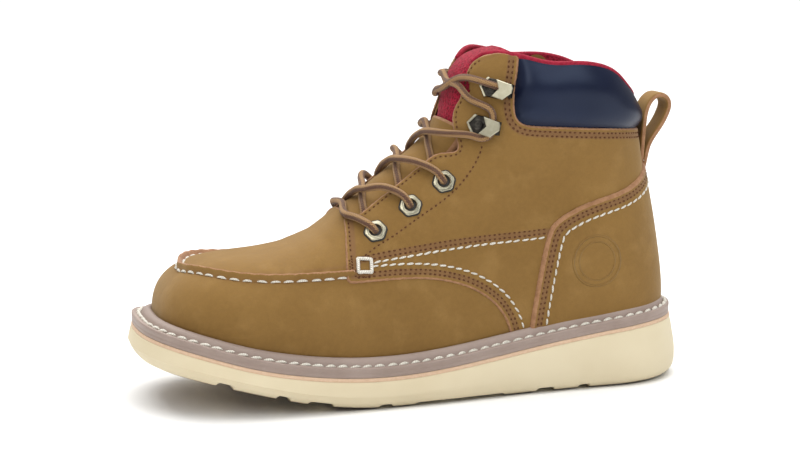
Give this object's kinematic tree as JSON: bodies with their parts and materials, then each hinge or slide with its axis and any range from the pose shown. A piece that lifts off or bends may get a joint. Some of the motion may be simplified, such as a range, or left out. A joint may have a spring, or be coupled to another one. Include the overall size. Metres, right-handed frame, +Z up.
{
  "type": "wedge sole work boot",
  "caption": "Ankle-high lace-up work boot with moc-style toe, padded collar, stitched storm welt and wedge sole, left foot.",
  "frame": {"origin": "centre of the bounding box on the floor, under the boot", "axes": "+X from the toe to the heel (the toe points to -X), +Y to the inner (medial) side, +Z up"},
  "size_m": [0.3039, 0.1163, 0.1831],
  "materials": {
    "nubuck": "soft tan nubuck, matte",
    "navy_leather": "smooth navy, satin",
    "welt_rubber": "taupe, satin",
    "peach_rubber": "peach, matte",
    "cream_sole": "cream, matte",
    "red_lining": "red mesh cloth",
    "pale_brass": "pale brass, polished",
    "dark_steel": "dark plated steel",
    "lace_cord": "woven, striped gold and dark brown"
  },
  "bodies": {
    "root": {"outsole": "cream_sole", "midsole": "peach_rubber", "welt": "welt_rubber", "insole": "red_lining", "upper": "nubuck", "heel_counter": "nubuck", "collar_pad": "navy_leather", "tongue": "nubuck", "pull_loop": "nubuck", "eyelet_lat_1": "pale_brass", "eyelet_lat_2": "pale_brass", "eyelet_lat_3": "pale_brass", "eyelet_med_1": "pale_brass", "eyelet_med_2": "pale_brass", "eyelet_med_3": "pale_brass", "hook_lat_1": "dark_steel", "hook_lat_2": "dark_steel", "hook_med_1": "dark_steel", "hook_med_2": "dark_steel", "lace_bar": "lace_cord", "lace_cross_1": "lace_cord", "lace_cross_2": "lace_cord", "lace_cross_3": "lace_cord", "lace_cross_4": "lace_cord"}
  },
  "joints": []
}
